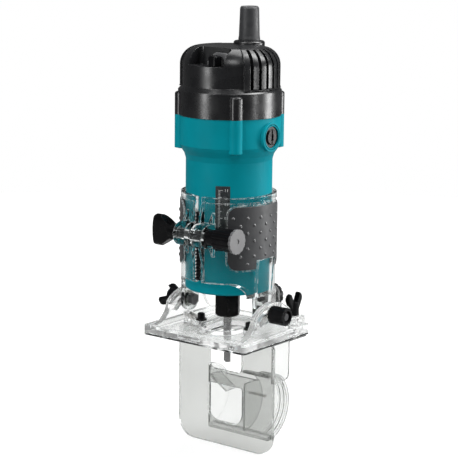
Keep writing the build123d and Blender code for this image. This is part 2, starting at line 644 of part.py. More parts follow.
# ---- stator -------------------------------------------------------------------------------------
def field():
    core = tube_z(28.95, 24.9, 82, 126)
    for middle in (0, 180):
        core += arc_block(18.3, 25.3, middle - 38, middle + 38, 82, 126)
    for z in (88, 94, 100, 106, 112, 118):
        core -= tube_z(30, 28.8, z, z + 0.6)
    save("field_core", core)
    coils = []
    for middle in (0, 180):
        coil = arc_block(19.2, 24.7, middle - 68, middle + 68, 75, 133)
        coil -= arc_block(18, 26, middle - 40, middle + 40, 81, 127)
        ends = [e for e in coil.edges() if e.geom_type == GeomType.LINE and abs(e.length - 5.5) < 0.05]
        coils.append(fillet(ends, 2.0))
    save("field_coils", *coils)


def bearing(name, r_in, r_out, z0, z1):
    """Sealed ball bearing: races, balls in their tracks and two shields."""
    pitch = (r_in + r_out) / 2
    ball = (r_out - r_in) * 0.27
    middle = (z0 + z1) / 2
    inner = tube_z(r_in + (r_out - r_in) * 0.3, r_in, z0, z1)
    outer = tube_z(r_out, r_out - (r_out - r_in) * 0.3, z0, z1)
    track = Pos(0, 0, middle) * Torus(pitch, ball + 0.02)
    shield = tube_z(r_out - (r_out - r_in) * 0.3 + 0.1, r_in + (r_out - r_in) * 0.34, z0 + 0.4, z0 + 0.9)
    cover = tube_z(r_out - (r_out - r_in) * 0.3 + 0.1, r_in + (r_out - r_in) * 0.34, z1 - 0.9, z1 - 0.4)
    save(f"{name}_outer_race", (outer + shield + cover) - track)
    balls = about_z(Pos(pitch, 0, middle) * Sphere(ball - 0.01), 8)
    save(f"{name}_inner_race", inner - track, *balls)


def bearing_retainer():
    ring = tube_z(15.98, 11.6, 50.4, 53.6)
    for notch in about_z(box(13.4, 17, -1.2, 1.2, 52.4, 54), 4, 0):
        ring -= notch
    save("bearing_retainer", ring)


def brush_gear():
    springs, holders = [], []
    for name, side in (("left", -1), ("right", 1)):
        tube = rod_x(5.66, *sorted((side * 14.2, side * 34.9)), 0, BRUSH_Z)
        tube -= box(*sorted((side * 13, side * 36)), -3.05, 3.05, BRUSH_Z - 2.55, BRUSH_Z + 2.55)
        holders.append(tube)
        brush = box(*sorted((side * 10, side * 22.5)), -3.0, 3.0, BRUSH_Z - 2.5, BRUSH_Z + 2.5)
        brush -= rod_z(COMM_R + 0.03, BRUSH_Z - 5, BRUSH_Z + 5)
        save(f"carbon_brush_{name}", brush)
        coil = Wire(Helix(1.9, 11.2, 2.0, center=(0, 0, 0), direction=(0, 0, 1)).edges())
        wire = sweep(Plane(coil @ 0, z_dir=coil % 0) * Circle(0.3), coil)
        springs.append(Pos(side * 22.85, 0, BRUSH_Z) * Rot(0, side * 90, 0) * wire)
        cap = rod_z(5.2, 0, 0.8) + rod_z(7.75, 0.75, 2.3) + chamfer(
            rod_z(5.5, 2.3, 3.5).edges().sort_by(Axis.Z)[-1:], 0.5)
        cap -= box(-6, 6, -0.6, 0.6, 2.6, 4)
        cap -= box(-2.2, 2.2, -1.5, 1.5, 2.6, 4)
        save(f"brush_cap_{name}", Pos(side * 35.0, 0, BRUSH_Z) * Rot(0, side * 90, 0) * cap)
    save("brush_holders", *holders)
    save("brush_springs", *springs)


# ---- rotor --------------------------------------------------------------------------------------
def spindle():
    profile = [
        (0, 34.6), (3.2, 34.6), (5.0, 21.6), (6.4, 21.6), (6.9, 22.2), (6.9, 35.6), (9.2, 35.6), (9.2, 39.6),
        (5.98, 39.6), (5.98, 50.4), (7.6, 50.4), (7.6, 57.0), (5.5, 57.0), (5.5, 157.5), (3.48, 157.5),
        (3.48, 169.3), (0, 169.8),
    ]
    shaft = turned(profile)
    for side in (-1, 1):
        shaft -= box(*sorted((side * 8.0, side * 12)), -10, 10, 35, 38.2)
    save("spindle_shaft", shaft)


def armature():
    core = tube_z(17.7, 5.52, 84, 124)
    for slot in about_z(box(11.5, 19, -0.9, 0.9, 83, 125) + rod_z(1.9, 83, 125, 13.6, 0), 12):
        core -= slot
    save("armature_core", core)
    copper = tube_z(15.6, 6.4, 76, 83.9) + tube_z(15.6, 6.4, 124.1, 132)
    copper = fillet(copper.edges().filter_by(GeomType.CIRCLE), 1.2)
    for groove in about_z(Rot(0, 0, 0) * box(14.6, 17, -0.5, 0.5, 75, 133), 24):
        copper -= groove
    wires = [s for s in copper.solids()]
    legs = about_z(rod_z(1.7, 83.0, 125.0, 13.6, 0), 12)
    whole = wires[0] + wires[1]
    for leg in legs:
        whole += leg
    save("armature_windings", whole)
    bars = tube_z(COMM_R, 7.6, 142, 158.6) + tube_z(12.6, 10, 139.6, 142)
    for gap in about_z(box(10.2, 13, -0.2, 0.2, 139, 159), 24):
        bars -= gap
    save("commutator", bars)
    save("commutator_hub", tube_z(7.58, 5.52, 138.4, 157.4))


def fan():
    disc = tube_z(27.2, 7.8, 58.2, 59.8) + tube_z(9.6, 5.52, 58.2, 69)
    disc += turned([(9, 59.5), (14, 59.5), (9, 66)])
    blade = arc_block(8.6, 27.2, -1.6, 1.6, 59.6, 70.5)
    for one in about_z(blade, 11):
        disc += one
    disc -= rod_z(5.52, 50, 75)
    disc -= turned([(10.5, 71.5), (27.5, 67.0), (27.5, 75), (10.5, 75)])
    save("cooling_fan", disc)


def collet():
    cone = turned([(3.02, 18.6), (5.1, 18.6), (5.1, 20.9), (4.9, 21.7), (3.5, 32.0), (3.02, 32.0)])
    for slit in about_z(box(2, 7, -0.3, 0.3, 20.4, 33), 4, 45):
        cone -= slit
    save("collet", cone)
    low = NUT_LOW
    eased = turned([(0, low), (8.2, low), (9.9, low + 1.2), (9.9, 29.3), (8.8, 30.5), (0, 30.5)])
    nut = hexagon(17, low, 30.5) & eased
    nut += rod_z(8.35, 30.3, NUT_TOP)
    nut -= rod_z(6.93, 21.5, NUT_TOP + 1)
    nut -= turned([(0, low - 1), (4.3, low - 1), (4.3, 17.2), (5.2, 18.5), (5.2, 21.6), (0, 21.6)])
    save("collet_nut", nut)


def router_bit():
    bit = rod_z(3, -5.4, 31.5) + rod_z(3, BIT_TIP, -5.3)
    for side in (0, 180):
        cut = box(0.35, 4, 0.25, 4, BIT_TIP - 1, -6) + rod_z(1.5, BIT_TIP - 1, -6, 1.85, 1.75)
        cut += Pos(1.85, 1.75, -6) * Sphere(1.5)
        bit -= Rot(0, 0, side) * cut
    bit -= box(-0.5, 0.5, -4, 4, BIT_TIP - 0.2, BIT_TIP + 0.7)
    save("router_bit", bit)


# ---- edge guard ---------------------------------------------------------------------------------
def guard_carrier():
    """Leaf under the rear half of the sole, with a tongue up the back for the knob."""
    leaf = box(-40, 43.4, GUARD_Y + 0.02, 43.2, -2.45, -0.05)
    leaf = chamfer(leaf.edges().filter_by(Axis.Z).group_by(Axis.Y)[-1], REAR_CHAMFER)
    leaf -= box(-17, 17, -10, 8, -5, 2) + rod_z(17, -5, 2, 0, 8)
    tongue = box(KNOB_X - 11, KNOB_X + 11, 41.1, 43.2, -2.45, 31)
    tongue = fillet(tongue.edges().filter_by(Axis.Y).group_by(Axis.Z)[-1], 6)
    tongue -= box(KNOB_X - 2.3, KNOB_X + 2.3, 40, 45, KNOB_Z - 0.4, KNOB_Z + 6.2)
    tongue -= rod_y(2.3, 40, 45, KNOB_X, KNOB_Z - 0.4) + rod_y(2.3, 40, 45, KNOB_X, KNOB_Z + 6.2)
    tab = box(41.2, 43.4, GUARD_Y + GUARD_T, 19, -31, -2.4)
    tab = fillet(tab.edges().filter_by(Axis.X).group_by(Axis.Z)[0].sort_by(Axis.Y)[-1:], 5)
    save("guard_carrier", leaf + tongue + tab)


def guard_plate():
    low, high = GUARD_Y, GUARD_Y + GUARD_T - 0.02
    plate = box(-GUARD_X, GUARD_X, low, high, GUARD_LOW, GUARD_TOP)
    corners = plate.edges().filter_by(Axis.Y)
    plate = fillet(corners.group_by(Axis.Z)[0], 14.5)
    plate = fillet(plate.edges().filter_by(Axis.Y).group_by(Axis.Z)[-1], 3.0)
    notch = box(-NOTCH_X, NOTCH_X, -6, 6, NOTCH_LOW, 5)
    plate -= fillet(notch.edges().filter_by(Axis.Y).group_by(Axis.Z)[0], 4)
    window = box(-16, 16, -6, 6, -68, -39)
    window = fillet(window.edges().filter_by(Axis.Y).group_by(Axis.Z)[0], 9)
    plate -= fillet(window.edges().filter_by(Axis.Y).group_by(Axis.Z)[-1], 2)
    save("guard_plate", plate)


def chip_scoop():
    """Half drum behind the guard plate, closed on the left and flared in rims on the right."""
    back = GUARD_Y + GUARD_T
    axis_y = back
    drum = rod_x(DRUM_R, DRUM_X0, DRUM_X1, axis_y, DRUM_Z) - rod_x(
        DRUM_R - SHEET, DRUM_X0 + SHEET, DRUM_X1 + 1, axis_y, DRUM_Z)
    for x in (30.0, 33.6, 37.2):
        rim = rod_x(DRUM_R + 1.6, x, x + 1.6, axis_y, DRUM_Z)
        drum += rim - rod_x(DRUM_R - SHEET, x - 1, x + 3, axis_y, DRUM_Z)
    drum += box(DRUM_X0, DRUM_X1 + 0.8, back, back + 8, DRUM_Z - DRUM_R - 1.6, DRUM_Z - DRUM_R + 0.6)
    drum -= box(-60, 60, -40, back, -90, 0)
    drum -= box(-NOTCH_X, NOTCH_X, back - 1, 30, DRUM_Z + 12, 0)
    save("chip_scoop", drum)


def scoop_baffles():
    """Partition beside the window and a sloping chute below the notch, set inside the drum."""
    back = GUARD_Y + GUARD_T
    inside = rod_x(DRUM_R - SHEET - 0.04, DRUM_X0 + SHEET + 0.04, DRUM_X1, back, DRUM_Z)
    inside -= box(-60, 60, -40, back + 0.04, -90, 0)
    partition = inside & box(16.2, 17.4, back, 30, -80, DRUM_Z + 14)
    outline = Polyline((-16.0, -33.4), (-14.4, -33.4), (0.0, -44.0), (-1.2, -45.0), (-16.0, -35.2), close=True)
    chute = inside & plate_xz([outline], back, back + 12)
    save("scoop_baffles", partition, chute)


def guard_pin():
    """Stiffening pin across the right half of the drum, let into a lug on the plate."""
    save("guard_pin", rod_x(1.1, 19.5, 34.5, 2.6, -42))


def guard_knob():
    knob = rod_z(9.0, 0.0, 6.0)
    for groove in about_z(rod_z(1.2, -1, 7, 9.6, 0), 12):
        knob -= groove
    knob = knob + Pos(0, 0, 6.4) * Cylinder(6.4, 0.8) + rod_z(5.6, -1.6, 0.1)
    screw = rod_z(2.2, -14.2, -1.61)
    knob_place = Pos(KNOB_X, 44.9, KNOB_Z) * Rot(-90, 0, 0)
    save("guard_knob", knob_place * knob)
    save("guard_knob_screw", knob_place * screw)


if __name__ == "__main__":
    base_plate()
    sole_protector()
    sole_screws()
    template_screws()
    tilt_stop()
    rod_clamp_wing()
    tilt_bolts()
    tilt_knob_right()
    tilt_wing_left()
    sleeve()
    grip("grip_right", 37, 126)
    grip("grip_left", -126, -30)
    depth_shaft()
    depth_knob()
    clamp_wing()
    depth_rack()
    motor_housing()
    housing_screws()
    scale_plate()
    rear_cover()
    cord_guard()
    cord_clamp()
    switch()
    field()
    bearing("lower_bearing", 6.0, 16.0, 40.15, 50.15)
    bearing("upper_bearing", 3.5, 9.5, 162.3, 168.3)
    bearing_retainer()
    brush_gear()
    spindle()
    armature()
    fan()
    collet()
    router_bit()
    guard_carrier()
    guard_plate()
    chip_scoop()
    scoop_baffles()
    guard_pin()
    guard_knob()
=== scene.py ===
"""Looks for the trim router: materials on every CAD node, small surface details, studio and camera."""
import json
import math

import bmesh
import bpy
from mathutils import Matrix, Vector


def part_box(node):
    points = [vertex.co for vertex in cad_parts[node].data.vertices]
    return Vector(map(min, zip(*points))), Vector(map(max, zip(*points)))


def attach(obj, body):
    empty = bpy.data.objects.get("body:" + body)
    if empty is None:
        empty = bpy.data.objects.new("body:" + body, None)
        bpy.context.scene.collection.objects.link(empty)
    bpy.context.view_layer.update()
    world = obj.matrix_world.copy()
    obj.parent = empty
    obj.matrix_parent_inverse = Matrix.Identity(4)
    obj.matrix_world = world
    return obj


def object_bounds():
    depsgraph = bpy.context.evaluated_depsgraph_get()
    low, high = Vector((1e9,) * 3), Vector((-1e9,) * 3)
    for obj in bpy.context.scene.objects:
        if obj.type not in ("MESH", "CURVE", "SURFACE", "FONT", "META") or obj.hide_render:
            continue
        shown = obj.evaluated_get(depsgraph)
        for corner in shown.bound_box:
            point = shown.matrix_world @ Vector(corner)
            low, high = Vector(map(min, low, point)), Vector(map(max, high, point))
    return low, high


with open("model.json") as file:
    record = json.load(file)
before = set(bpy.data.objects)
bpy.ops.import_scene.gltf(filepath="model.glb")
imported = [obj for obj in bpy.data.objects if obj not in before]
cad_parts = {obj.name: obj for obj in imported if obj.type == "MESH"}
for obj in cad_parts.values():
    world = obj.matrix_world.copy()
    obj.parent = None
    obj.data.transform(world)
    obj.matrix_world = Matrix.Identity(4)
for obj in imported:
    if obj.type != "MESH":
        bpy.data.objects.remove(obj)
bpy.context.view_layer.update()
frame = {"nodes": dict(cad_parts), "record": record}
nodes = frame["nodes"]
MM = 0.001
# pale colour painted on the edges of clear parts: a painted highlight
PAINTED_EDGE_HIGHLIGHT = (0.86, 0.90, 0.90)


# ---- material building blocks -------------------------------------------------------------------
class Tree:
    """A few shorthands round a material's node tree."""

    def __init__(self, name):
        self.material = bpy.data.materials.new(name)
        self.material.use_nodes = True
        self.tree = self.material.node_tree
        self.shader = self.tree.nodes["Principled BSDF"]
        self.place = self.add("ShaderNodeTexCoord").outputs["Object"]

    def add(self, kind, **settings):
        node = self.tree.nodes.new(kind)
        for key, value in settings.items():
            setattr(node, key, value)
        return node

    def join(self, source, target):
        self.tree.links.new(source, target)

    def stretched(self, scale):
        mapping = self.add("ShaderNodeMapping")
        mapping.inputs["Scale"].default_value = scale
        self.join(self.place, mapping.inputs["Vector"])
        return mapping.outputs["Vector"]

    def noise(self, scale, detail=2.0, rough=0.5, place=None):
        node = self.add("ShaderNodeTexNoise")
        node.inputs["Scale"].default_value = scale
        node.inputs["Detail"].default_value = detail
        node.inputs["Roughness"].default_value = rough
        self.join(place or self.place, node.inputs["Vector"])
        return node.outputs["Fac"]

    def spread(self, value, low, high, out_low, out_high):
        node = self.add("ShaderNodeMapRange")
        for name, number in zip(("From Min", "From Max", "To Min", "To Max"), (low, high, out_low, out_high)):
            node.inputs[name].default_value = number
        self.join(value, node.inputs["Value"])
        return node.outputs["Result"]

    def math(self, operation, a, b):
        node = self.add("ShaderNodeMath", operation=operation)
        for socket, value in zip(node.inputs, (a, b)):
            if isinstance(value, (int, float)):
                socket.default_value = value
            else:
                self.join(value, socket)
        return node.outputs[0]

    def mix(self, factor, a, b):
        node = self.add("ShaderNodeMix", data_type="RGBA")
        self.join(factor, node.inputs["Factor"])
        for socket, value in ((node.inputs[6], a), (node.inputs[7], b)):
            if isinstance(value, tuple):
                socket.default_value = (*value, 1.0)
            else:
                self.join(value, socket)
        return node.outputs[2]

    def edge_mask(self, radius, noise_scale=260.0):
        """1 on outside edges, broken up by noise, 0 on flats: worn edges on opaque parts, and painted edge highlights
        on clear ones.
        """
        bevel = self.add("ShaderNodeBevel", samples=4)
        bevel.inputs["Radius"].default_value = radius
        geometry = self.add("ShaderNodeNewGeometry")
        dot = self.add("ShaderNodeVectorMath", operation="DOT_PRODUCT")
        self.join(bevel.outputs["Normal"], dot.inputs[0])
        self.join(geometry.outputs["Normal"], dot.inputs[1])
        edge = self.spread(dot.outputs["Value"], 0.995, 0.9, 0.0, 1.0)
        return self.math("MULTIPLY", edge, self.spread(self.noise(noise_scale, 3.0), 0.42, 0.62, 0.15, 1.0))

    def surface(self, height, strength, distance, radius=0.0004):
        """Rounded-looking edges with a bump on top."""
        bevel = self.add("ShaderNodeBevel", samples=4)
        bevel.inputs["Radius"].default_value = radius
        bump = self.add("ShaderNodeBump")
        bump.inputs["Strength"].default_value = strength
        bump.inputs["Distance"].default_value = distance
        self.join(height, bump.inputs["Height"])
        self.join(bevel.outputs["Normal"], bump.inputs["Normal"])
        self.join(bump.outputs["Normal"], self.shader.inputs["Normal"])

    def fixed(self, **values):
        for key, value in values.items():
            self.shader.inputs[key.replace("_", " ")].default_value = value


def plastic(name, colour, rough, grain=2600.0, depth=0.00006, wear=None, vary=0.10, gloss=0.5):
    """Moulded plastic: mottled tone, spark-eroded grain, uneven sheen and lighter rubbed edges."""
    t = Tree(name)
    dark = tuple(c * (1 - vary) for c in colour)
    light = tuple(min(1.0, c * (1 + vary)) for c in colour)
    tone = t.mix(t.spread(t.noise(38.0, 4.0), 0.35, 0.65, 0.0, 1.0), dark, light)
    rubbed = wear or tuple(min(1.0, c * 1.5 + 0.03) for c in colour)
    edge = t.edge_mask(0.0005)
    tone = t.mix(t.math("MULTIPLY", edge, 0.55), tone, rubbed)
    t.join(tone, t.shader.inputs["Base Color"])
    patch = t.spread(t.noise(90.0, 3.0), 0.3, 0.7, rough - 0.05, rough + 0.07)
    t.join(t.math("SUBTRACT", patch, t.math("MULTIPLY", edge, 0.08)), t.shader.inputs["Roughness"])
    t.surface(t.noise(grain, 2.0, 0.6), 0.35, depth)
    t.fixed(IOR=1.5, Specular_IOR_Level=gloss)
    return t.material


def clear_plastic(name, colour, rough, ior, painted_edge_highlight=0.45, edge_width=0.0006, milk=0.0):
    """Clear moulding with flow ripple, fine scuffs, a little haze, and a painted highlight: edges turned pale and less
    clear.
    """
    t = Tree(name)
    edge = t.edge_mask(edge_width)
    paler = tuple(min(1.0, c + 0.03) for c in colour)
    tone = t.mix(t.spread(t.noise(30.0, 3.0), 0.35, 0.65, 0.0, 1.0), colour, paler)
    # painted highlight: outside edges turn pale and lose clarity, standing in for light caught by the edges
    t.join(t.mix(edge, tone, PAINTED_EDGE_HIGHLIGHT), t.shader.inputs["Base Color"])
    clear = t.math("SUBTRACT", 1.0 - milk, t.math("MULTIPLY", edge, painted_edge_highlight))
    t.join(clear, t.shader.inputs["Transmission Weight"])
    scuffs = t.spread(t.noise(700.0, 5.0, 0.7, t.stretched((1.0, 1.0, 0.25))), 0.58, 0.78, 0.0, 0.07)
    frost = t.math("ADD", t.math("MULTIPLY", edge, 0.14), rough)
    t.join(t.math("ADD", scuffs, frost), t.shader.inputs["Roughness"])
    t.surface(t.noise(55.0, 2.0), 0.25, 0.0004, 0.0006)
    t.fixed(IOR=ior)
    return t.material


def rubber(name, colour):
    """Soft grip: fine matt grain, dusty patches, paler edges."""
    t = Tree(name)
    dusty = tuple(c + 0.014 for c in colour)
    tone = t.mix(t.spread(t.noise(120.0, 5.0, 0.6), 0.45, 0.75, 0.0, 0.8), colour, dusty)
    tone = t.mix(t.math("MULTIPLY", t.edge_mask(0.0007), 0.5), tone, tuple(c + 0.07 for c in colour))
    t.join(tone, t.shader.inputs["Base Color"])
    t.join(t.spread(t.noise(200.0, 3.0), 0.3, 0.7, 0.40, 0.56), t.shader.inputs["Roughness"])
    t.surface(t.noise(1900.0, 3.0, 0.65), 0.5, 0.00012, 0.0006)
    t.fixed(IOR=1.5, Sheen_Weight=0.08, Sheen_Roughness=0.5)
    return t.material


def metal(name, colour, rough, lines=(1.0, 1.0, 12.0), wear=None, metallic=1.0):
    """Turned or ground metal: fine tool lines, smudges, brighter edges."""
    t = Tree(name)
    smudge = t.spread(t.noise(140.0, 4.0), 0.35, 0.7, 0.0, 1.0)
    tone = t.mix(smudge, colour, tuple(c * 0.82 for c in colour))
    tone = t.mix(t.edge_mask(0.0004), tone, wear or tuple(min(1.0, c * 1.25) for c in colour))
    t.join(tone, t.shader.inputs["Base Color"])
    streak = t.noise(900.0, 2.0, 0.5, t.stretched(lines))
    t.join(t.spread(streak, 0.3, 0.7, rough - 0.06, rough + 0.1), t.shader.inputs["Roughness"])
    t.surface(streak, 0.25, 0.00004, 0.0003)
    t.fixed(Metallic=metallic, IOR=2.5)
    return t.material


def laminated(name, colour, pitch):
    """Stacked sheet steel: fine dark lines across the stack."""
    t = Tree(name)
    wave = t.add("ShaderNodeTexWave", wave_type="BANDS", bands_direction="Z")
    wave.inputs["Scale"].default_value = 1 / pitch / 20 * math.pi
    t.join(t.place, wave.inputs["Vector"])
    tone = t.mix(wave.outputs["Fac"], tuple(c * 0.45 for c in colour), colour)
    t.join(tone, t.shader.inputs["Base Color"])
    t.join(t.spread(t.noise(300.0, 3.0), 0.3, 0.7, 0.35, 0.55), t.shader.inputs["Roughness"])
    t.surface(wave.outputs["Fac"], 0.4, 0.0001, 0.0003)
    t.fixed(Metallic=0.9)
    return t.material


def wound(name, colour):
    """Enamelled wire laid side by side."""
    t = Tree(name)
    wave = t.add("ShaderNodeTexWave", wave_type="RINGS", rings_direction="Z")
    wave.inputs["Scale"].default_value = 260.0
    wave.inputs["Distortion"].default_value = 1.5
    t.join(t.place, wave.inputs["Vector"])
    t.join(t.mix(wave.outputs["Fac"], tuple(c * 0.35 for c in colour), colour), t.shader.inputs["Base Color"])
    t.join(t.spread(t.noise(250.0, 3.0), 0.3, 0.7, 0.22, 0.38), t.shader.inputs["Roughness"])
    t.surface(wave.outputs["Fac"], 0.6, 0.0003, 0.0003)
    t.fixed(Metallic=0.85, Coat_Weight=0.5, Coat_Roughness=0.2)
    return t.material


LOOKS = {
    "clear_plastic": clear_plastic("clear_moulding", (0.94, 0.945, 0.94), 0.012, 1.24,
                                   painted_edge_highlight=0.7, edge_width=0.001, milk=0.13),
    "sole_sheet": clear_plastic("clear_sheet", (0.90, 0.91, 0.905), 0.05, 1.3, painted_edge_highlight=0.7),
    "teal_plastic": plastic("teal_moulding", (0.0, 0.195, 0.24), 0.48, grain=2200.0, depth=0.00004,
                            wear=(0.005, 0.27, 0.33), vary=0.06, gloss=0.05),
    "black_plastic": plastic("black_moulding", (0.006, 0.0062, 0.007), 0.27, grain=2000.0, depth=0.00006,
                             wear=(0.05, 0.05, 0.052), vary=0.2, gloss=0.45),
    "grey_plastic": plastic("grey_moulding", (0.045, 0.047, 0.05), 0.34, wear=(0.12, 0.12, 0.13), gloss=0.35),
    "grip_rubber": rubber("soft_grip", (0.014, 0.015, 0.017)),
    "scale_print": plastic("scale_strip", (0.018, 0.022, 0.024), 0.32, wear=(0.08, 0.09, 0.09), vary=0.2),
    "bright_steel": metal("bright_steel", (0.62, 0.61, 0.59), 0.24),
    "black_steel": metal("blackened_steel", (0.035, 0.035, 0.037), 0.33, wear=(0.25, 0.25, 0.25), metallic=0.9),
    "lamination": laminated("core_sheets", (0.34, 0.35, 0.36), 0.0007),
    "copper": wound("enamelled_wire", (0.62, 0.24, 0.08)),
    "carbon": plastic("pressed_carbon", (0.03, 0.03, 0.03), 0.5, grain=1200.0, depth=0.0002),
}
TICK_LOOK = plastic("print_white", (0.72, 0.74, 0.74), 0.4, grain=900.0, depth=0.00002,
                    wear=(0.8, 0.8, 0.8), vary=0.05)
KNOB_LOOK = plastic("knob_black", (0.0025, 0.0025, 0.003), 0.22, grain=1800.0, depth=0.00003,
                    wear=(0.02, 0.02, 0.021), vary=0.2, gloss=0.12)
STUD_LOOK = plastic("stud_gloss", (0.05, 0.051, 0.053), 0.13, grain=1500.0, depth=0.00002,
                    wear=(0.3, 0.3, 0.31), vary=0.1, gloss=0.9)
CAP_LOOK = plastic("knob_cap_grey", (0.085, 0.085, 0.088), 0.36, grain=1400.0, depth=0.0001,
                   wear=(0.3, 0.3, 0.3), vary=0.15, gloss=0.5)
# grey tint: partly the guard's own smoky tint, partly painted shade on what is seen through it
GUARD_LOOK = clear_plastic("clear_guard", (0.60, 0.61, 0.595), 0.03, 1.17,
                           painted_edge_highlight=0.85, edge_width=0.0008, milk=0.13)
SCOOP_LOOK = clear_plastic("clear_scoop", (0.76, 0.77, 0.76), 0.02, 1.3, painted_edge_highlight=0.6, milk=0.06)
OXIDE_LOOK = plastic("black_oxide", (0.002, 0.002, 0.0023), 0.26, grain=2400.0, depth=0.00003,
                     wear=(0.03, 0.03, 0.03), vary=0.15, gloss=0.1)
BIT_LOOK = metal("bit_steel", (0.26, 0.26, 0.26), 0.2, wear=(0.5, 0.5, 0.5))
# grey tint: partly the sleeve's own smoky tint, partly painted shade darkening the barrel seen through it
SLEEVE_LOOK = clear_plastic("clear_sleeve", (0.66, 0.685, 0.68), 0.015, 1.18, painted_edge_highlight=0.9, edge_width=0.0008)
OTHER_LOOKS = {
    "guard_plate": GUARD_LOOK, "chip_scoop": SCOOP_LOOK, "scoop_baffles": SCOOP_LOOK, "guard_carrier": SCOOP_LOOK,
    "base_sleeve": SLEEVE_LOOK, "switch_frame": CAP_LOOK, "router_bit": BIT_LOOK, "depth_knob_cap": CAP_LOOK,
    "depth_pinion_shaft": LOOKS["black_steel"], "collet_nut": OXIDE_LOOK, "template_screws": OXIDE_LOOK,
}
KNOB_NODES = ("clamp_wing", "depth_knob", "tilt_knob_right", "tilt_wing_left", "rod_clamp_wing", "guard_knob",
              "switch_lever", "depth_rack", "brush_cap_left", "brush_cap_right")
slot_of = {entry["node"]: entry["material_slot"] for entry in frame["record"]["subparts"]}
for name, piece in nodes.items():
    piece.data.materials.clear()
    usual = KNOB_LOOK if name in KNOB_NODES else LOOKS[slot_of[name]]
    piece.data.materials.append(OTHER_LOOKS.get(name, usual))


# ---- small pieces built here --------------------------------------------------------------------
def new_piece(name, build, look, body, smooth=True):
    """Makes a mesh piece from a bmesh-filling function, and rides it on a body."""
    mesh = bpy.data.meshes.new(name)
    bm = bmesh.new()
    build(bm)
    bmesh.ops.recalc_face_normals(bm, faces=bm.faces)
    bm.to_mesh(mesh)
    bm.free()
    mesh.polygons.foreach_set("use_smooth", [smooth] * len(mesh.polygons))
    piece = bpy.data.objects.new(name, mesh)
    bpy.context.scene.collection.objects.link(piece)
    mesh.materials.append(look)
    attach(piece, body)
    return piece


def around_z(radius, angle, z):
    """Point and outward direction on a cylinder, angle in degrees from the front towards the right."""
    a = math.radians(angle - 90)
    out = Vector((math.cos(a), math.sin(a), 0))
    return Vector((out.x * radius, out.y * radius, z)), out


def dome(bm, centre, out, radius, height):
    """A low round stud with its base sunk into the surface."""
    up = out.to_track_quat("Z", "Y").to_matrix().to_4x4()
    rings, around = 4, 14
    previous = None
    for i in range(rings + 1):
        turn = math.pi / 2 * i / rings
        r, h = radius * math.cos(turn), height * math.sin(turn)
        if i == rings:
            ring = [bm.verts.new(centre + up @ Vector((0, 0, h)))] * around
        else:
            turns = [k * math.tau / around for k in range(around)]
            ring = [bm.verts.new(centre + up @ Vector((r * math.cos(a), r * math.sin(a), h))) for a in turns]
        if previous is None:
            bm.faces.new(ring)
        else:
            for k in range(around):
                loop = [previous[k], previous[(k + 1) % around], ring[(k + 1) % around], ring[k]]
                bm.faces.new(list(dict.fromkeys(loop)))
        previous = ring


def bar(bm, centre, half, turn):
    """A flat-topped tick with eased corners, as a box of given half sizes turned by a 3x3 matrix."""
    place = Matrix.Translation(centre) @ turn.to_4x4() @ Matrix.Diagonal((*half, 1.0))
    made = bmesh.ops.create_cube(bm, size=2.0, matrix=place)
    edges = list({e for v in made["verts"] for e in v.link_edges})
    bmesh.ops.bevel(bm, geom=edges, offset=min(half) * 0.35, segments=1, affect="EDGES", profile=0.5)


STUD_R, STUD_HIGH, STUD_SINK = 1.25 * MM, 0.8 * MM, 0.05 * MM
STUD_STEP_ANGLE, STUD_STEP_Z = 8.8, 11.2 * MM
STUD_FIRST, STUD_LAST = {1: 43.0, -1: 36.0}, 121.0
STUD_END_ANGLE = 5
FOOT_MARGIN, HEAD_MARGIN, CORNER_MARGIN = 4.2 * MM, 3.2 * MM, 8 * MM
KNOB_CLEAR = 13.5 * MM
TONGUE_HALF, TONGUE_TOP = 12.0 * MM, 64.5 * MM


def grip_studs(side):
    """Staggered studs on one grip pad, left out by the depth knob, the sleeve's tongue and the pad's corners."""
    name = "grip_right" if side > 0 else "grip_left"
    low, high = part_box(name)
    radius = max(abs(low.x), abs(high.x)) - STUD_SINK
    clamp_low, clamp_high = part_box("depth_knob")
    clamp = Vector((0, (clamp_low.y + clamp_high.y) / 2, (clamp_low.z + clamp_high.z) / 2))
    start, stop = STUD_FIRST[side], STUD_LAST

    def build(bm):
        column = 0
        angle = start
        while angle <= stop:
            z = low.z + FOOT_MARGIN + (STUD_STEP_Z / 2 if column % 2 else 0.0)
            while z < high.z - HEAD_MARGIN:
                point, out = around_z(radius, side * angle, z)
                near_knob = math.hypot(point.y - clamp.y, point.z - clamp.z) < KNOB_CLEAR
                on_tongue = abs(point.y) < TONGUE_HALF and z < TONGUE_TOP
                by_end = angle < start + STUD_END_ANGLE or angle > stop - STUD_END_ANGLE
                in_corner = by_end and (z < low.z + CORNER_MARGIN or z > high.z - CORNER_MARGIN)
                if not near_knob and not on_tongue and not in_corner:
                    dome(bm, point, out, STUD_R, STUD_HIGH)
                z += STUD_STEP_Z
            angle += STUD_STEP_ANGLE
            column += 1

    new_piece(name + "_studs", build, STUD_LOOK, "sleeve")


STRIP_FACE_R = 31.56 * MM
TICK_HALF_THICK = 0.03 * MM


def scale_ticks():
    """Light graduations standing just proud of the dark strip on the barrel."""
    low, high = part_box("scale_plate")
    tick_angle, figure_angle = 24.0, 34.5
    tick_half_wide, angle_per_mm = 0.13 * MM, 0.9
    figure_half = (0.16 * MM, TICK_HALF_THICK, 0.95 * MM)

    def build(bm):
        z, i = low.z + 4 * MM, 0
        while z < high.z - 2 * MM:
            length = 3.2 if i % 10 == 0 else (2.4 if i % 5 == 0 else 1.5)
            point, out = around_z(STRIP_FACE_R, tick_angle + length * angle_per_mm, z)
            turn = out.to_track_quat("Y", "Z").to_matrix()
            bar(bm, point, (length * MM / 2, TICK_HALF_THICK, tick_half_wide), turn)
            if i % 10 == 0:
                point, out = around_z(STRIP_FACE_R, figure_angle, z)
                turn = out.to_track_quat("Y", "Z").to_matrix()
                for dx in (-0.9, 0.7):
                    shift = turn @ Vector((dx * MM, 0, 0))
                    bar(bm, point + shift, figure_half, turn)
            z += 1.0 * MM
            i += 1

    new_piece("scale_ticks", build, TICK_LOOK, "motor", smooth=False)


BRACKET_FACE = 42.02 * MM


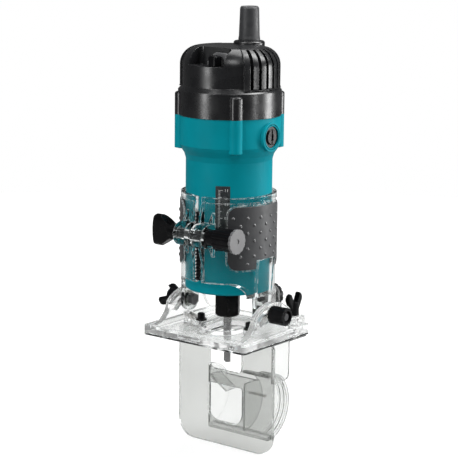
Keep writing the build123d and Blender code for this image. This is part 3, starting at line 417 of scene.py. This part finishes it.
def tilt_ticks():
    """Angle graduations on the outer faces of the brackets."""
    count, first_degrees, step_degrees, half_wide = 15, 22, 3.5, 0.12 * MM

    def build(bm):
        for side in (-1, 1):
            for i in range(count):
                angle = math.radians(first_degrees - i * step_degrees)
                middle, half_long = (28.2 * MM, 1.2 * MM) if i % 5 == 0 else (28.6 * MM, 0.8 * MM)
                point = Vector((side * BRACKET_FACE, math.sin(angle) * middle, math.cos(angle) * middle))
                bar(bm, point, (TICK_HALF_THICK, half_wide, half_long), Matrix.Rotation(-angle, 3, "X"))

    new_piece("tilt_ticks", build, TICK_LOOK, "base", smooth=False)


grip_studs(1)
grip_studs(-1)
scale_ticks()
tilt_ticks()

# ---- studio -------------------------------------------------------------------------------------
FLOOR_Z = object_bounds()[0][2] - 0.4 * MM
FLOOR_R = 1.1
AZIMUTH, ELEVATION = 37.73, 11.29
TARGET = Vector((0.3, 0.24, 79.05)) * MM
DISTANCE, FOCAL, ROLL = 1.238, 132.96, math.radians(0.6)
# how bright the white surroundings are: as gloss and fill, as seen, and after a reflection in clear parts
WORLD_LEVELS = (0.10, 1.0, 0.85)
FLOOR_LEVELS = (0.12, 0.95, 0.80)
# name, azimuth from the camera's, elevation, distance in m, size in m, power in W
LIGHTS = (
    ("key low", -56, 1, 1.1, (0.26, 0.34), 2.8),
    ("key high", -56, 50, 1.1, (0.3, 0.7), 8),
    ("rim low", 95, 1, 1.1, (0.34, 0.34), 7),
    ("rim high", 92, 52, 1.15, (0.4, 0.8), 16),
    ("edge low", 58, 1, 1.1, (0.08, 0.34), 1.4),
    ("front", 8, 40, 1.5, (0.5, 0.5), 6),
    ("top", 150, 72, 1.2, (0.9, 0.9), 12),
)


def seen_through(tree, low, high, inside):
    """high for what is seen, also through clear parts; inside after a reflection in them; low for gloss and fill."""
    path = tree.nodes.new("ShaderNodeLightPath")
    bounced = tree.nodes.new("ShaderNodeMapRange")
    bounced.inputs["To Min"].default_value = high
    bounced.inputs["To Max"].default_value = inside
    tree.links.new(path.outputs["Glossy Depth"], bounced.inputs["Value"])
    seen = tree.nodes.new("ShaderNodeMath")
    seen.operation = "MAXIMUM"
    tree.links.new(path.outputs["Is Camera Ray"], seen.inputs[0])
    tree.links.new(path.outputs["Is Transmission Ray"], seen.inputs[1])
    level = tree.nodes.new("ShaderNodeMapRange")
    level.inputs["To Min"].default_value = low
    tree.links.new(bounced.outputs["Result"], level.inputs["To Max"])
    tree.links.new(seen.outputs[0], level.inputs["Value"])
    return level.outputs["Result"]


def pale_floor():
    """Plain round studio floor under the part."""
    bm = bmesh.new()
    bmesh.ops.create_circle(bm, cap_ends=True, segments=96, radius=FLOOR_R, matrix=Matrix.Translation((0, 0, FLOOR_Z)))
    mesh = bpy.data.meshes.new("studio_floor")
    bm.to_mesh(mesh)
    bm.free()
    floor = bpy.data.objects.new("studio_floor", mesh)
    bpy.context.scene.collection.objects.link(floor)
    t = Tree("studio_paper")
    tone = t.mix(t.spread(t.noise(3.0, 3.0), 0.3, 0.7, 0.0, 1.0), (0.22, 0.22, 0.22), (0.24, 0.24, 0.24))
    t.join(tone, t.shader.inputs["Base Color"])
    outward = t.add("ShaderNodeVectorMath", operation="LENGTH")
    t.join(t.place, outward.inputs[0])
    lift = t.spread(outward.outputs["Value"], 0.15, FLOOR_R, 0.80, 1.12)
    t.join(t.math("MULTIPLY", lift, seen_through(t.tree, *FLOOR_LEVELS)), t.shader.inputs["Emission Strength"])
    t.fixed(Roughness=0.9, Emission_Color=(1.0, 1.0, 1.0, 1.0))
    mesh.materials.append(t.material)


def towards(azimuth, elevation):
    """Unit vector from the part towards a direction in degrees, azimuth from the front towards the right."""
    a, e = math.radians(azimuth), math.radians(elevation)
    return Vector((math.sin(a) * math.cos(e), -math.cos(a) * math.cos(e), math.sin(e)))


def add_camera():
    back = towards(AZIMUTH, ELEVATION)
    data = bpy.data.cameras.new("camera")
    data.sensor_width = 36.0
    data.lens = FOCAL
    data.clip_start = 0.05
    data.clip_end = 30.0
    camera = bpy.data.objects.new("camera", data)
    bpy.context.scene.collection.objects.link(camera)
    camera.location = TARGET + back * DISTANCE
    facing = (-back).to_track_quat("-Z", "Y").to_matrix()
    camera.rotation_euler = (facing @ Matrix.Rotation(ROLL, 3, "Z")).to_euler()
    bpy.context.scene.camera = camera


def area_light(name, turn, elevation, distance, size, power):
    """A rectangular lamp facing the part, turned from the camera's azimuth."""
    back = towards(AZIMUTH + turn, elevation)
    data = bpy.data.lights.new(name, "AREA")
    data.shape = "RECTANGLE"
    data.size, data.size_y = size
    data.energy = power
    light = bpy.data.objects.new(name, data)
    bpy.context.scene.collection.objects.link(light)
    light.location = TARGET + back * distance
    light.rotation_euler = (-back).to_track_quat("-Z", "Y").to_euler()


def studio():
    """White surroundings for the view and for what clear parts let through; dim ones for gloss and fill."""
    world = bpy.data.worlds.new("studio")
    world.use_nodes = True
    tree = world.node_tree
    tree.links.new(seen_through(tree, *WORLD_LEVELS), tree.nodes["Background"].inputs["Strength"])
    tree.nodes["Background"].inputs["Color"].default_value = (1.0, 1.0, 1.0, 1.0)
    bpy.context.scene.world = world
    for light in LIGHTS:
        area_light(*light)


add_camera()
pale_floor()
studio()
bpy.context.scene.view_settings.view_transform = "Standard"
